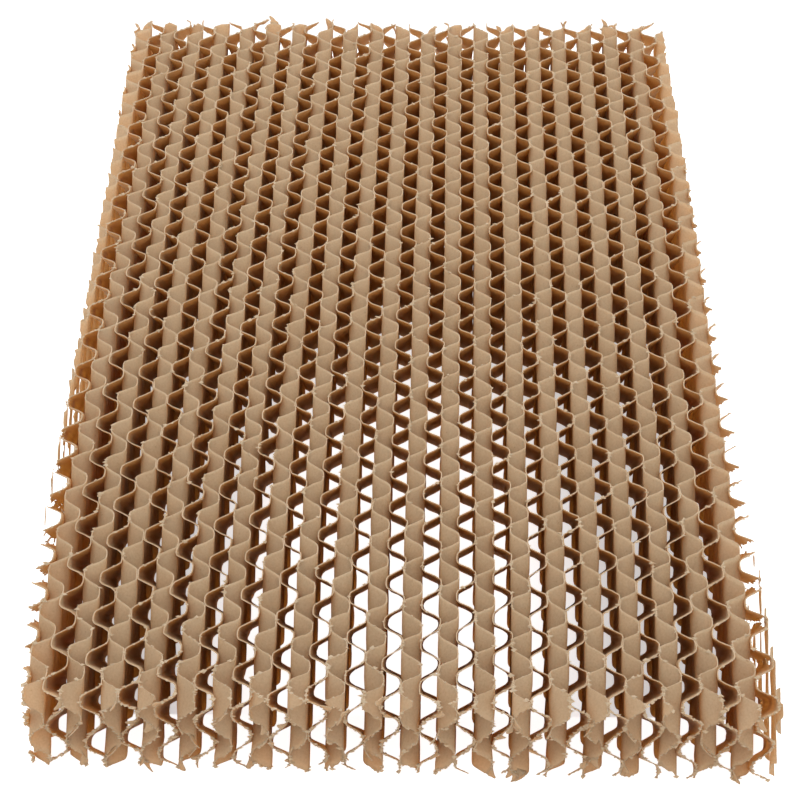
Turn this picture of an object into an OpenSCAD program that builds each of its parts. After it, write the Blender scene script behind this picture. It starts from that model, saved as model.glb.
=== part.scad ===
// Evaporative cooling pad: a sawn block of fluted kraft paper sheets that stand side by side on edge.
// The flutes of each sheet slope the opposite way to its neighbours', so that two sheets meet only
// where their crests cross, at spots of glue, and air and water pass between them.
// Frame: +X across the sheets, +Y along the block, +Z up. The origin is the middle of the bottom face.

/* [Block] */
// Width of the sawn block, across the sheets
block_w = 285.5; // [200:0.5:360]
// Length of the sawn block, along the sheets
block_l = 505; // [300:1:700]
// Thickness of the block, which is the way the air goes through it
block_t = 38; // [25:1:60]
// Angle by which the saw cuts run off the line of the sheets
saw_skew = 1.25; // [0:0.05:2]

/* [Sheets] */
// Distance from one sheet to the next
sheet_pitch = 7; // [6:0.1:8]
// Thickness of the stiffened paper
paper_t = 0.5; // [0.3:0.05:0.7]
// Room between crests for the film of glue
glue_gap = 0.1; // [0.05:0.05:0.3]

/* [Flutes] */
// Slope of the flutes from upright, backward on even sheets and forward on odd ones
flute_slope = 45; // [30:1:60]
// Distance from crest to crest, measured square to the flutes
wave_l = 15.6; // [14:0.1:18]
// Colour of the unbleached paper
paper_colour = "peru"; // [peru, burlywood, tan]

/* [Hidden] */
// A flute has round crests and straight flanks, which rise 4 for every 3 along the sheet
flank_angle = atan2(4, 3);
// Height of the wave from crest to crest, at the middle of the paper
wave_h = sheet_pitch - glue_gap - paper_t;
// Radius of a crest, and length of the flank that leaves it at a tangent and meets the next crest
crest_r = (wave_l / 2 - wave_h / tan(flank_angle)) / (2 * tan(flank_angle / 2));
flank_l = (wave_h - 2 * crest_r * (1 - cos(flank_angle))) / sin(flank_angle);
// Crest to crest along the face of the block, where the saw crosses the sloping flutes
face_wave = wave_l / cos(flute_slope);
// The fluted stock is larger than the block on all sides, and the saw takes off the rest
stock_waves = ceil((block_l * cos(flute_slope) + block_t * sin(flute_slope)) / wave_l / 2) + 1;
flute_l = block_l * sin(flute_slope) + block_t * cos(flute_slope) + 2 * wave_l;
// Sheets needed to fill the block from corner to corner
half_reach = block_w / 2 * cos(saw_skew) + block_l / 2 * sin(saw_skew);
sheet_count = 2 * round(half_reach / sheet_pitch);
// Facets of a full circle where the curve is drawn as a polygon
round_fn = 64;

// Sheets are numbered from the left, with two digits
function sheet_name(i) = str("sheet_", i < 10 ? "0" : "", i);
// Sheets are laid up with no regard for their neighbours: each starts at its own point of the wave,
// which is a fixed scatter of the fractions between 0 and 1
function scatter(i) = let (v = 100 * sin(77 * i)) v - floor(v);
// Even sheets lean back and odd sheets lean forward
function lean(i) = i % 2 == 0 ? 1 : -1;

// One crest and the flank after it, with the crest towards +X
module half_wave() {
    reach = 2 * crest_r;
    translate([wave_h / 2 - crest_r, 0]) {
        difference() {
            rotate(180) circle(r = crest_r + paper_t / 2, $fn = round_fn);
            rotate(180) circle(r = crest_r - paper_t / 2, $fn = round_fn);
            rotate(flank_angle) translate([-reach, 0]) square([2 * reach, reach]);
            rotate(-flank_angle) translate([-reach, -reach]) square([2 * reach, reach]);
        }
        rotate(flank_angle) translate([crest_r - paper_t / 2, 0]) square([paper_t, flank_l]);
    }
}

// Section of the paper, square to the flutes
module fluted_section() {
    for (k = [-stock_waves : stock_waves])
        translate([0, k * wave_l]) {
            half_wave();
            translate([0, wave_l / 2]) mirror([1, 0]) half_wave();
        }
}

// Fluted stock standing on edge, before sawing
module fluted_stock(i) {
    across = (i - (sheet_count + 1) / 2) * sheet_pitch;
    rotate([0, 0, -saw_skew])
        translate([across, scatter(i) * face_wave, block_t / 2])
            rotate([lean(i) * flute_slope, 0, 0])
                linear_extrude(height = flute_l, center = true) fluted_section();
}

// The block that the saw leaves
module sawn_block() {
    translate([-block_w / 2, -block_l / 2, 0]) cube([block_w, block_l, block_t]);
}

module sheet(i) {
    color(paper_colour) intersection() {
        sawn_block();
        fluted_stock(i);
    }
}

for (i = [1 : sheet_count])
    sheet(i);
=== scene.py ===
# Evaporative cooling pad: a sawn block of fluted kraft paper sheets that lies flat on a pale floor.
# Lengths are in metres, in the frame of the solids: +X across the sheets, +Y along the block, +Z up.
import math

import bmesh
import bpy
import numpy as np
from mathutils import Matrix, Vector


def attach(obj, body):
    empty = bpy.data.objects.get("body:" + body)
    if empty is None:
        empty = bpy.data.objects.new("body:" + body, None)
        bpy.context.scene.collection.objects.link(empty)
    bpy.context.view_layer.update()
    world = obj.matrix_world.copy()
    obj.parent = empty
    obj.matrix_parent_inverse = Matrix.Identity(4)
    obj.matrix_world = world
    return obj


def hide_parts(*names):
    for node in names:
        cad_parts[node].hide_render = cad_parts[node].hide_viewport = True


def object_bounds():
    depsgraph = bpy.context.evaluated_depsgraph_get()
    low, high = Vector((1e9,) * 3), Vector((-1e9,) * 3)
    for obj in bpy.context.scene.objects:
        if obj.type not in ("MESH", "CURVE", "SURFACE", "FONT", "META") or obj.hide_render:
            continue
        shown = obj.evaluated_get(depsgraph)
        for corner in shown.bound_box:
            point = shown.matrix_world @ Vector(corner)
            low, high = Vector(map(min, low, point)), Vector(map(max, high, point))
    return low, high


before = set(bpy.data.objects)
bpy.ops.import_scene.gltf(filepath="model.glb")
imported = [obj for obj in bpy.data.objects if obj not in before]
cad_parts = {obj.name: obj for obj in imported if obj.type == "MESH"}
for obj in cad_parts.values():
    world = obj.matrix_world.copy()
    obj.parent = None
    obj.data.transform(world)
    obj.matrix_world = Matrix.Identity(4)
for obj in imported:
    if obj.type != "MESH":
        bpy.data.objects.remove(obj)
CAD_LOW, CAD_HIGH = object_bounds()

# Driving dimensions of the block and its sheets, the same as those of the solids
MM = 0.001
BLOCK_W, BLOCK_L, BLOCK_T = CAD_HIGH - CAD_LOW
SAW_SKEW = math.radians(1.25)
SHEET_PITCH = 7 * MM
PAPER_T = 0.5 * MM
GLUE_GAP = 0.1 * MM
FLUTE_SLOPE = math.radians(45)
WAVE_L = 15.6 * MM
FLANK_ANGLE = math.atan2(4, 3)
SHEETS = sorted(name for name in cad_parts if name.startswith("sheet_"))

# The wave that follows from them
WAVE_H = SHEET_PITCH - GLUE_GAP - PAPER_T
CREST_R = (WAVE_L / 2 - WAVE_H / math.tan(FLANK_ANGLE)) / (2 * math.tan(FLANK_ANGLE / 2))
CREST_RUN = CREST_R * math.sin(FLANK_ANGLE)
FACE_WAVE = WAVE_L / math.cos(FLUTE_SLOPE)

# How the paper differs from the ideal solids. Towards the sawn faces, flutes open up: their flanks are steeper and
# their crests fuller and flatter. They also lean to one side, and the paper is drawn as thin as its edges look
STEEPER = 1.65
FULL_H = 8.1 * MM
FULL_FROM = 6 * MM
FULL_OVER = 6 * MM
FLUTE_SKEW = 0.12
EDGE_T = 0.37 * MM

# Each sheet wanders a little in slow waves, across its own plane and, twice as far, along it
WANDER = 0.25 * MM
WANDER_L_ACROSS = 211 * MM
WANDER_L_ALONG = 173 * MM

# Sawn and torn edges: how rough each is, how far the far end runs on, and more so on sheets that slope away
SAW_FUZZ = 0.12 * MM
NEAR_TEAR = 0.8 * MM
FAR_TEAR = 1.1 * MM
FAR_OVER = 2 * MM
FAR_LONGER = 3 * MM
SIDE_TEAR = 0.4 * MM
STRIP_TEAR = 0.1 * SIDE_TEAR
STRIP_OVER = 0.6 * MM
CORNER_CUT = 3.5 * MM
CORNER_RUN = 50 * MM
SHORTEST_FLUTE = 0.5 * MM
SCRAP = 6 * MM**2

# A tear is made of long waves, fine teeth and a few deep nicks. A line that ends within so many tears' depth of
# an end of the block counts as torn there
TEAR_WAVES, TEAR_WAVE_STEPS = 0.7, 5
TEAR_TEETH = 0.35
TEAR_NICKS, NICK_FROM, NICK_STEPS = 2.0, 1.4, 1
TEARS_WITHIN = 4

# Tufts of torn fibre: their size and form, the share of places on a cut edge that have one, and how many times
# that share is added where the saw left the paper, on crests and at the near end
TUFT = 0.42 * MM
TUFT_FORM = np.array([1.4, 1, 0.8])
TUFT_LEAST, TUFT_MORE, TUFT_MOST = 0.6, 0.6, 1.9
TUFT_ROUGH = 0.3
TUFT_SHARE = 0.08
SAW_TUFTS = 10
CREST_TUFTS = 3
NEAR_TUFTS = 8
NEAR_REACH = 12 * MM

# The part of a wave where the saw left the paper, on sheets that lean forward and back, and how near to it or to
# a crest a place counts as there
SAW_EXITS = {-1: 0.5, 1: 0.75}
TUFT_PART = 0.12

# Torn tongues of paper at the two ends: the share of places that have one, their length and half width in mm, and
# as shares of those, how much lies on the sheet, how far the tip bends to a side, and of that how far outward and
# at most how far up, and how much they taper and vary
FLAP_SHARE = 0.04
FLAP_LENGTHS = (2, 5)
FLAP_WIDTHS = (1.2, 2.6)
FLAP_ROOT = 0.2
FLAP_BEND = 0.6
FLAP_OUTWARD = 0.4
FLAP_UP = 0.6
FLAP_TAPER = 0.8
FLAP_VARIES = (0.8, 1.2)
FLAP_ROUGH = 0.15
FLAP_LINES = (-1, -0.35, 0.35, 1)
FLAP_ROWS = 5

FIRST_SEED = 1000

# Fineness of the sheets' meshes: distances of the rows from the faces along a flute, and the steps round a crest
# and along a flank
BOTTOM_ROWS = np.array((0, 3, 8)) * MM
TOP_ROWS = np.array((12, 8.5, 5.5, 3, 1.2, 0)) * MM
MIDDLE_ROWS = 2
SIDE_ROWS = 24
COARSE = (4, 2)
FINE = (8, 5)

# Grain of the paper: blotches and fibres to the metre, the band of noise in which each turns from dark to pale,
# and how rough, glossy and uneven the paper is
MOTTLE_SCALE = 60
FIBRE_SCALE = 1200
NOISE_DETAIL = 2
MOTTLE_BAND = (0.35, 0.65)
GRAIN_BAND = (0.3, 0.7)
FLECK_BAND = (0.22, 0.3)
GRAIN_DARK, GRAIN_PALE = (0.9, 0.88, 0.86), (1.06, 1.06, 1.06)
FLECK, NO_FLECK = (0.74, 0.69, 0.64), (1, 1, 1)
PAPER_ROUGH = 0.75
PAPER_GLOSS = 0.25
BUMP = 0.25
BUMP_H = 0.1 * MM

# Painted light on the table, a glow that is no lamp: a pool of light strongest at one place under the block, and
# faint
#  beyond its reach, where the block's shade falls; even around the block, with a brighter ring close to it that
#  paints out the block's shadow there
FLOOR_SIZE = 6
GLOW_AT = (0, -0.18, 0)
GLOW_REACH = (0.09, 0.23, 1)
GLOW_EDGE = 0.4
GLOW_HIGH = 1
GLOW_LOW = 0.55
GLOW_RING = 0.95
GLOW_AROUND = 0.2
RING = 45 * MM
TABLE_INSET = 30 * MM
TABLE_DROP = 0.3 * MM
TABLE_COLOUR = (0.9, 0.9, 0.9, 1)
TABLE_ROUGH = 0.9

# Light on the block: an even sky, and one large lamp above its far half
WORLD_LIGHT = 0.78
KEY_AT = (0, 0.42, 0.92)
KEY_SIZE = 1.2
KEY_POWER = 5.2

# The camera, as the photograph's perspective gives it
PHOTO_PX = 800
FOCAL_PX = 2284
CAMERA_PITCH = math.radians(38.63)
CAMERA_YAW = math.radians(-0.265)
CAMERA_ROLL = math.radians(0.6)
CAMERA_AT = Vector((-2.6, -842.7, 653.3)) * MM
SENSOR_MM = 36


def sheet_number(name):
    return int(name.split("_")[1])


def scatter(i):
    """Where along its wave a sheet starts: the same fixed fractions as in the solids."""
    v = 100 * math.sin(math.radians(77 * i))
    return v - math.floor(v)


def lean(i):
    return 1 if i % 2 == 0 else -1


def across(i):
    return (i - (len(SHEETS) + 1) / 2) * SHEET_PITCH


def wave_x(u):
    """Distance of the middle of the paper from the sheet's own plane, with a crest towards +X at u = 0."""
    u = np.mod(u, WAVE_L)
    u = np.minimum(u, WAVE_L - u)
    d = WAVE_L / 2 - u
    rise = WAVE_H / 2 - CREST_R
    crest = rise + np.sqrt(np.maximum(CREST_R**2 - u**2, 0))
    trough = -rise - np.sqrt(np.maximum(CREST_R**2 - d**2, 0))
    flank = rise + CREST_R * math.cos(FLANK_ANGLE) - (u - CREST_RUN) * math.tan(FLANK_ANGLE)
    return np.where(u <= CREST_RUN, crest, np.where(d <= CREST_RUN, trough, flank))


def free_x(i, y, z):
    """Where a sheet would lie if its neighbours left it room."""
    slope = lean(i) * FLUTE_SLOPE
    u = (y - scatter(i) * FACE_WAVE) * math.cos(slope) + (z - BLOCK_T / 2) * math.sin(slope)
    u = u + 2 * WANDER * np.sin(2 * math.pi * (y / WANDER_L_ALONG + scatter(i + 7)))
    # flutes lean to one side, and every other sheet is turned over
    straight = u
    for _ in range(4):
        straight = u - lean(i) * FLUTE_SKEW * wave_x(straight)
    x = wave_x(straight)
    # towards the faces the wave is steeper, and levels off at its full height
    t = 2 * STEEPER * x / FULL_H
    full = FULL_H / 2 * t / (1 + t**4) ** 0.25
    share = np.clip((np.abs(z - BLOCK_T / 2) - FULL_FROM) / FULL_OVER, 0, 1)
    x = x + share * (full - x)
    return across(i) + x + WANDER * np.sin(2 * math.pi * (y / WANDER_L_ACROSS + scatter(i + 3)))


def pressed_x(i, y, z):
    """The same, with each crest pressed in where it meets a neighbour's."""
    x = free_x(i, y, z)
    room = PAPER_T + GLUE_GAP / 2
    right = np.maximum(x + room - free_x(i + 1, y, z), 0)
    left = np.maximum(free_x(i - 1, y, z) + room - x, 0)
    return x + (left - right) / 2


def wave_stations(crest_steps, flank_steps):
    """Stations along one wave: even steps of angle round the crests, and even steps along the flanks."""
    turn = np.linspace(-FLANK_ANGLE, FLANK_ANGLE, crest_steps + 1)
    crest = CREST_R * np.sin(turn)
    flank = np.linspace(CREST_RUN, WAVE_L / 2 - CREST_RUN, flank_steps + 1)[1:-1]
    half = np.concatenate([crest, flank])
    return np.concatenate([half, half + WAVE_L / 2])


def smooth_noise(rng, count, reach):
    """A random row of numbers of unit spread, smoothed over that many steps."""
    pad = 3 * reach + 1
    kernel = np.exp(-0.5 * (np.arange(-pad, pad + 1) / max(reach, 0.01)) ** 2)
    raw = np.convolve(rng.normal(size=count + 2 * pad), kernel, "valid")
    return raw / math.sqrt((kernel**2).sum())


def torn(rng, count, amount):
    """How far a torn edge runs short of the cut, line by line: long waves, fine teeth and a few deep nicks."""
    nicks = np.maximum(smooth_noise(rng, count, NICK_STEPS) - NICK_FROM, 0)
    waves = smooth_noise(rng, count, TEAR_WAVE_STEPS)
    teeth = rng.normal(size=count)
    return amount * (TEAR_WAVES * waves + TEAR_TEETH * teeth + TEAR_NICKS * nicks)


def fluted_surface(i, rng, side=False):
    """The middle surface of one sheet, as a grid of points: lines along its flutes, cut to the block.

    Both sides and the far end are square to each other, and the near end is square to the sheets. Also gives
    the torn edges at the near and far ends, and where each line stands in its wave.
    """
    slope = lean(i) * FLUTE_SLOPE
    s, c = math.sin(slope), math.cos(slope)
    start = scatter(i) * FACE_WAVE
    shift = across(i) * math.tan(SAW_SKEW)
    near = -BLOCK_L / 2 - start
    over = FAR_OVER + (FAR_LONGER if s > 0 else 0)
    far = (BLOCK_L / 2 + over) / math.cos(SAW_SKEW) + shift - start
    reach = int((BLOCK_L * abs(c) + BLOCK_T * abs(s)) / WAVE_L / 2) + 3
    # waves at the ends, and all those of side sheets, are drawn finer
    u = []
    for k in range(-reach, reach + 1):
        middle = (k + 0.25) * WAVE_L / c
        at_end = max(near - middle, middle - far) > -(BLOCK_T + FACE_WAVE) / 2
        u.append(wave_stations(*(FINE if at_end or side else COARSE)) + k * WAVE_L)
    u = np.concatenate(u)
    count = len(u)
    # where each line meets the bottom, the top and the two ends
    bottom = (-BLOCK_T / 2 - u * s) / c + SAW_FUZZ * np.abs(rng.normal(size=count))
    top = (BLOCK_T / 2 - u * s) / c - SAW_FUZZ * np.abs(rng.normal(size=count))
    at_near = (u * c - near) / s
    at_far = (u * c - far) / s
    tears = torn(rng, count, NEAR_TEAR), torn(rng, count, FAR_TEAR) + FAR_TEAR * rng.normal()
    if s < 0:
        low = np.maximum(bottom, at_near + tears[0])
        high = np.minimum(top, at_far - tears[1])
    else:
        low = np.maximum(bottom, at_far + tears[1])
        high = np.minimum(top, at_near - tears[0])
    keep = high - low > SHORTEST_FLUTE
    u, low, high, at_near, at_far = u[keep], low[keep], high[keep], at_near[keep], at_far[keep]
    full = BLOCK_T / c
    if side:
        rows = np.linspace(0, 1, SIDE_ROWS)
    else:
        middle = np.linspace(BOTTOM_ROWS[-1], full - TOP_ROWS[0], MIDDLE_ROWS + 2)[1:-1]
        rows = np.concatenate([BOTTOM_ROWS, middle, full - TOP_ROWS]) / full
    w = low + (high - low) * rows[:, None]
    y = start + u * c - w * s
    z = BLOCK_T / 2 + u * s + w * c
    points = to_block(np.stack([pressed_x(i, y, z), y, z], axis=-1))
    first, last = (low, high) if s < 0 else (high, low)
    near_row, far_row = (0, -1) if s < 0 else (-1, 0)
    near_edge = points[near_row][np.abs(first - at_near) < TEARS_WITHIN * NEAR_TEAR]
    far_edge = points[far_row][np.abs(last - at_far) < TEARS_WITHIN * FAR_TEAR]
    return points, near_edge, far_edge, np.mod(u, WAVE_L) / WAVE_L


def to_block(points):
    """Turns a sheet's own frame by the skew of the saw cuts."""
    s, c = math.sin(SAW_SKEW), math.cos(SAW_SKEW)
    x, y, z = points[..., 0], points[..., 1], points[..., 2]
    return np.stack([x * c + y * s, -x * s + y * c, z], axis=-1)


def add_grid(bm, points):
    rows, lines = points.shape[:2]
    verts = [bm.verts.new(p) for p in points.reshape(-1, 3)]
    for r in range(rows - 1):
        for k in range(lines - 1):
            a = r * lines + k
            bm.faces.new((verts[a], verts[a + 1], verts[a + lines + 1], verts[a + lines]))
    return verts


def add_tufts(bm, points, rng):
    """Little tufts of torn fibre on a cut edge: lumps of no set shape, each with eight faces."""
    corners = np.array([(1, 0, 0), (0, 1, 0), (-1, 0, 0), (0, -1, 0), (0, 0, 1), (0, 0, -1)])
    for point in points:
        size = TUFT * min(TUFT_LEAST + rng.exponential(TUFT_MORE), TUFT_MOST) * TUFT_FORM
        lump = point + size * (corners + rng.normal(scale=TUFT_ROUGH, size=(6, 3)))
        lump[:, 2] = np.maximum(lump[:, 2], 0)
        verts = [bm.verts.new(p) for p in lump]
        for k in range(4):
            for tip in (4, 5):
                face = bm.faces.new((verts[k], verts[(k + 1) % 4], verts[tip]))
                face.material_index = MATERIALS.index(FIBRE)


def add_flap(bm, base, out, along, curl, rng):
    """A torn tongue of paper that bends away from the edge it hangs on."""
    length, width = rng.uniform(*FLAP_LENGTHS) * MM, rng.uniform(*FLAP_WIDTHS) * MM
    rows = []
    for t in np.linspace(0, 1, FLAP_ROWS):
        middle = base + length * (out * (t - FLAP_ROOT) + curl * FLAP_BEND * t * t)
        half = width * (1 - FLAP_TAPER * t * t) * rng.uniform(*FLAP_VARIES)
        rows.append([middle + along * half * (k + FLAP_ROUGH * rng.normal()) for k in FLAP_LINES])
    rows = np.array(rows)
    rows[..., 2] = np.maximum(rows[..., 2], 0)
    add_grid(bm, rows)


def add_flaps(bm, edge, out, rng):
    """Torn tongues along one end of a sheet."""
    for k in range(2, len(edge) - 2):
        if rng.uniform() < FLAP_SHARE:
            along = edge[k + 1] - edge[k - 1]
            along = along / np.linalg.norm(along)
            curl = np.array([rng.choice([-1, 1]), FLAP_OUTWARD * out[1], rng.uniform(0, FLAP_UP)])
            add_flap(bm, edge[k], out, along, curl, rng)


def corner_cut(y):
    """How far the left side is cut in at a place near the near corner."""
    return CORNER_CUT * np.clip((CORNER_RUN - BLOCK_L / 2 - y) / CORNER_RUN, 0, 1)


def within(points):
    """Those of the points that lie between the block's two sawn sides."""
    x = points[:, 0]
    return points[(x > corner_cut(points[:, 1]) - BLOCK_W / 2) & (x < BLOCK_W / 2)]


def drop_scraps(bm):
    """Takes away bits of paper that are too small to stay on."""
    seen, scraps = set(), []
    for start in bm.faces:
        if start in seen:
            continue
        seen.add(start)
        bit = [start]
        for face in bit:
            for edge in face.edges:
                for other in edge.link_faces:
                    if other not in seen:
                        seen.add(other)
                        bit.append(other)
        if sum(face.calc_area() for face in bit) < SCRAP:
            scraps += bit
    bmesh.ops.delete(bm, geom=scraps, context="FACES")


def trim_sides(points, tear, over, rng):
    """A sheet's surface without what lies outside the block's two sawn sides, along a slightly torn line."""
    bm = bmesh.new()
    layer = bm.verts.layers.float.new("torn")
    add_grid(bm, points)
    for v in bm.verts:
        v[layer] = tear * rng.normal() - math.copysign(over, v.co.x)
        if v.co.x < 0:
            v[layer] -= corner_cut(v.co.y)
        v.co.x += v[layer]
    for side in (-1, 1):
        geometry = bm.verts[:] + bm.edges[:] + bm.faces[:]
        bmesh.ops.bisect_plane(
            bm, geom=geometry, plane_co=(side * BLOCK_W / 2, 0, 0), plane_no=(side, 0, 0), clear_outer=True
        )
    for v in bm.verts:
        v.co.x -= v[layer]
    drop_scraps(bm)
    mesh = bpy.data.meshes.new("trimmed")
    bm.to_mesh(mesh)
    bm.free()
    return mesh


def thicken(piece):
    """Gives the surface the paper's thickness, with the cut edges in the second material."""
    solidify = piece.modifiers.new("paper", "SOLIDIFY")
    solidify.thickness = EDGE_T
    solidify.offset = 0
    solidify.use_even_offset = True
    solidify.material_offset_rim = MATERIALS.index(CUT)
    depsgraph = bpy.context.evaluated_depsgraph_get()
    solid = bpy.data.meshes.new_from_object(piece.evaluated_get(depsgraph))
    piece.modifiers.clear()
    piece.data = solid
    solid.polygons.foreach_set("use_smooth", [p.material_index == 0 for p in solid.polygons])


def paper_material(name, pale, dark, through, glow_colour):
    """Unbleached paper: mottled, with fine fibre grain, a few dark flecks and some light coming through."""
    material = bpy.data.materials.new(name)
    material.use_nodes = True
    nodes, links = material.node_tree.nodes, material.node_tree.links
    bsdf = nodes["Principled BSDF"]
    where = nodes.new("ShaderNodeTexCoord").outputs["Object"]

    def noise(scale):
        node = nodes.new("ShaderNodeTexNoise")
        node.inputs["Scale"].default_value = scale
        node.inputs["Detail"].default_value = NOISE_DETAIL
        links.new(where, node.inputs["Vector"])
        return node.outputs["Fac"]

    def ramp(value, band, first, last):
        node = nodes.new("ShaderNodeValToRGB")
        node.color_ramp.elements[0].position = band[0]
        node.color_ramp.elements[1].position = band[1]
        node.color_ramp.elements[0].color = (*first, 1)
        node.color_ramp.elements[1].color = (*last, 1)
        links.new(value, node.inputs["Fac"])
        return node.outputs["Color"]

    def multiply(a, b):
        node = nodes.new("ShaderNodeMix")
        node.data_type = "RGBA"
        node.blend_type = "MULTIPLY"
        node.inputs["Factor"].default_value = 1
        links.new(a, node.inputs["A"])
        links.new(b, node.inputs["B"])
        return node.outputs["Result"]

    mottle = ramp(noise(MOTTLE_SCALE), MOTTLE_BAND, dark, pale)
    fibre = noise(FIBRE_SCALE)
    grain = ramp(fibre, GRAIN_BAND, GRAIN_DARK, GRAIN_PALE)
    flecks = ramp(fibre, FLECK_BAND, FLECK, NO_FLECK)
    colour = multiply(multiply(mottle, grain), flecks)
    links.new(colour, bsdf.inputs["Base Color"])
    bsdf.inputs["Roughness"].default_value = PAPER_ROUGH
    bsdf.inputs["Specular IOR Level"].default_value = PAPER_GLOSS
    bump = nodes.new("ShaderNodeBump")
    bump.inputs["Strength"].default_value = BUMP
    bump.inputs["Distance"].default_value = BUMP_H
    links.new(fibre, bump.inputs["Height"])
    links.new(bump.outputs["Normal"], bsdf.inputs["Normal"])
    glow = nodes.new("ShaderNodeBsdfTranslucent")
    glow.inputs["Color"].default_value = (*glow_colour, 1)
    mix = nodes.new("ShaderNodeMixShader")
    mix.inputs["Fac"].default_value = through
    links.new(bsdf.outputs[0], mix.inputs[1])
    links.new(glow.outputs[0], mix.inputs[2])
    links.new(mix.outputs[0], nodes["Material Output"].inputs["Surface"])
    return material


PAPER = paper_material("kraft_paper", (0.81, 0.70, 0.48), (0.75, 0.63, 0.42), 0.43, (0.89, 0.55, 0.22))
CUT = paper_material("cut_edge", (0.76, 0.60, 0.42), (0.62, 0.47, 0.31), 0.15, (0.75, 0.50, 0.25))
FIBRE = paper_material("torn_fibre", (0.88, 0.75, 0.56), (0.80, 0.66, 0.47), 0.35, (0.88, 0.72, 0.50))
MATERIALS = [PAPER, CUT, FIBRE]


def torn_sheet(name, points, near_edge, far_edge, side, rng):
    """The mesh of one sheet's middle surface, with its hanging strips and torn tongues."""
    i = sheet_number(name)
    bm = bmesh.new()
    if side:
        bm.from_mesh(trim_sides(points, SIDE_TEAR, 0, rng))
    else:
        add_grid(bm, points)
    # crests of the next sheet out are left hanging as strips on each outer sheet
    if i in (1, len(SHEETS)):
        beyond = fluted_surface(0 if i == 1 else i + 1, rng, True)[0]
        bm.from_mesh(trim_sides(beyond, STRIP_TEAR, STRIP_OVER, rng))
    down = lean(i) * math.sin(FLUTE_SLOPE)
    add_flaps(bm, near_edge, np.array([0, -abs(down), down]), rng)
    add_flaps(bm, far_edge, np.array([0, abs(down), -down]), rng)
    mesh = bpy.data.meshes.new(name)
    bm.to_mesh(mesh)
    bm.free()
    return mesh


def tuft_places(i, top, part_of_wave, near_edge, rng):
    """Tufts gather where crests rub on their neighbours, where the saw left the paper, and along the near end."""
    crest = np.abs(np.mod(2 * part_of_wave + 0.5, 1) - 0.5) < TUFT_PART
    frayed = np.exp(-(top[:, 1] + BLOCK_L / 2) / NEAR_REACH)
    saw_exit = np.abs(part_of_wave - SAW_EXITS[lean(i)]) < TUFT_PART
    chance = TUFT_SHARE * (1 + CREST_TUFTS * crest + SAW_TUFTS * saw_exit + NEAR_TUFTS * frayed)
    part = rng.uniform(size=(len(chance) - 1, 1))
    places = top[:-1] + part * (top[1:] - top[:-1])
    places = places[rng.uniform(size=len(places)) < chance[:-1]]
    near = near_edge[rng.uniform(size=len(near_edge)) < NEAR_TUFTS * TUFT_SHARE]
    return within(np.concatenate([places, near]))


def make_sheet(name):
    i = sheet_number(name)
    rng = np.random.default_rng(FIRST_SEED + i)
    side = i <= 2 or i >= len(SHEETS) - 1
    points, near_edge, far_edge, part_of_wave = fluted_surface(i, rng, side)
    near_edge, far_edge = within(near_edge), within(far_edge)
    mesh = torn_sheet(name, points, near_edge, far_edge, side, rng)
    for material in MATERIALS:
        mesh.materials.append(material)
    piece = bpy.data.objects.new("paper_" + name, mesh)
    bpy.context.collection.objects.link(piece)
    thicken(piece)
    bm = bmesh.new()
    bm.from_mesh(piece.data)
    add_tufts(bm, tuft_places(i, points[-1], part_of_wave, near_edge, rng), rng)
    bm.to_mesh(piece.data)
    bm.free()
    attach(piece, "root")
    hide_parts(name)


def floor_material(name, glow):
    """A pale table with painted light, brighter than it is lit: its glow is for the camera, and for rays that come
    by way of a gloss or through a piece, so the paper also shows it through.
    """
    material = bpy.data.materials.new(name)
    material.use_nodes = True
    nodes, links = material.node_tree.nodes, material.node_tree.links
    bsdf = nodes["Principled BSDF"]
    bsdf.inputs["Base Color"].default_value = TABLE_COLOUR
    bsdf.inputs["Roughness"].default_value = TABLE_ROUGH
    bsdf.inputs["Emission Color"].default_value = (1, 1, 1, 1)
    material.cycles.emission_sampling = "NONE"
    path = nodes.new("ShaderNodeLightPath")
    seen = path.outputs["Is Camera Ray"]
    for ray in ("Is Glossy Ray", "Is Transmission Ray"):
        either = nodes.new("ShaderNodeMath")
        either.operation = "MAXIMUM"
        links.new(seen, either.inputs[0])
        links.new(path.outputs[ray], either.inputs[1])
        seen = either.outputs[0]
    strength = nodes.new("ShaderNodeMath")
    strength.operation = "MULTIPLY"
    strength.name = "glow"
    strength.inputs[1].default_value = glow
    links.new(seen, strength.inputs[0])
    links.new(strength.outputs[0], bsdf.inputs["Emission Strength"])
    return material


def painted_light_patch(material):
    """Paints a pool of light on the table: it glows most at one place under the block, and faintly beyond its
    reach.
    """
    nodes, links = material.node_tree.nodes, material.node_tree.links
    where = nodes.new("ShaderNodeMapping")
    where.vector_type = "TEXTURE"
    where.inputs["Location"].default_value = GLOW_AT
    where.inputs["Scale"].default_value = GLOW_REACH
    patch = nodes.new("ShaderNodeTexGradient")
    patch.gradient_type = "SPHERICAL"
    glow = nodes.new("ShaderNodeMapRange")
    glow.inputs["From Max"].default_value = GLOW_EDGE
    glow.inputs["To Min"].default_value = GLOW_LOW
    glow.inputs["To Max"].default_value = GLOW_HIGH
    links.new(nodes.new("ShaderNodeTexCoord").outputs["Object"], where.inputs["Vector"])
    links.new(where.outputs["Vector"], patch.inputs["Vector"])
    links.new(patch.outputs["Fac"], glow.inputs["Value"])
    links.new(glow.outputs["Result"], nodes["glow"].inputs[1])


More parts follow.
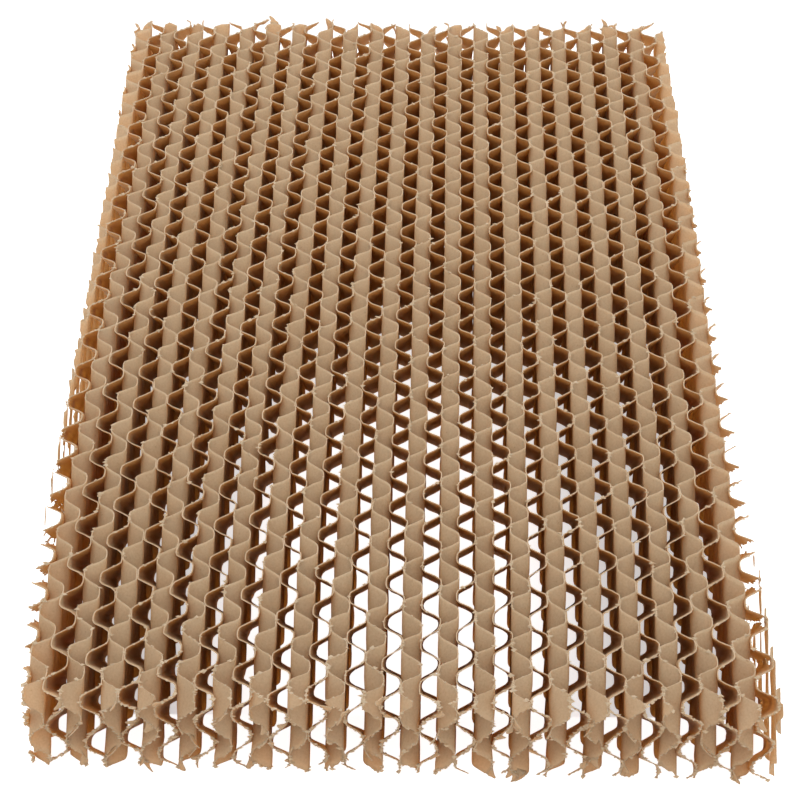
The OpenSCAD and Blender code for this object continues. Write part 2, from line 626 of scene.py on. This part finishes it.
def make_floor():
    """A pale table: one face under the block, a ring of four around it, and four more beyond."""
    corners = np.array([(-1, -1, 0), (1, -1, 0), (1, 1, 0), (-1, 1, 0)])
    half = np.array([BLOCK_W / 2, BLOCK_L / 2, 0])
    under = corners * (half - (0, TABLE_INSET / 2, 0)) + (0, TABLE_INSET / 2, 0)
    points = np.concatenate([under, corners * (half + RING), corners * FLOOR_SIZE])
    faces = [(0, 1, 2, 3)]
    for first in (0, 4):
        for k in range(4):
            a, b = first + k, first + (k + 1) % 4
            faces.append((a + 4, b + 4, b, a))
    mesh = bpy.data.meshes.new("floor")
    mesh.from_pydata(points.tolist(), [], faces)
    mesh.polygons.foreach_set("material_index", [0] + 4 * [1] + 4 * [2])
    # Painted light: the face under the block glows as a painted pool of light, and the ring glows nearly white to
    # paint out the block's shadow close to it
    mesh.materials.append(floor_material("table_painted_pool_of_light", GLOW_LOW))
    mesh.materials.append(floor_material("table_painted_ring_of_light", GLOW_RING))
    mesh.materials.append(floor_material("table", GLOW_AROUND))
    painted_light_patch(mesh.materials[0])
    floor = bpy.data.objects.new("floor", mesh)
    floor.location.z = CAD_LOW.z - TABLE_DROP
    bpy.context.collection.objects.link(floor)


def make_light():
    world = bpy.data.worlds.new("studio")
    bpy.context.scene.world = world
    world.use_nodes = True
    background = world.node_tree.nodes["Background"]
    background.inputs["Color"].default_value = (1, 1, 1, 1)
    background.inputs["Strength"].default_value = WORLD_LIGHT
    data = bpy.data.lights.new("key", "AREA")
    data.size = KEY_SIZE
    data.energy = KEY_POWER
    key = bpy.data.objects.new("key", data)
    bpy.context.collection.objects.link(key)
    key.location = KEY_AT
    key.rotation_euler = (Vector((0, 0, 0)) - key.location).to_track_quat("-Z", "Y").to_euler()


def make_camera():
    data = bpy.data.cameras.new("camera")
    data.sensor_fit = "HORIZONTAL"
    data.sensor_width = SENSOR_MM
    data.lens = FOCAL_PX / PHOTO_PX * SENSOR_MM
    camera = bpy.data.objects.new("camera", data)
    bpy.context.collection.objects.link(camera)
    turn = Matrix.Rotation(CAMERA_YAW, 4, "Z") @ Matrix.Rotation(math.pi / 2 - CAMERA_PITCH, 4, "X")
    camera.matrix_world = Matrix.Translation(CAMERA_AT) @ turn @ Matrix.Rotation(CAMERA_ROLL, 4, "Z")
    bpy.context.scene.camera = camera


bpy.context.scene.view_settings.view_transform = "Standard"
for sheet in SHEETS:
    make_sheet(sheet)
make_floor()
make_light()
make_camera()
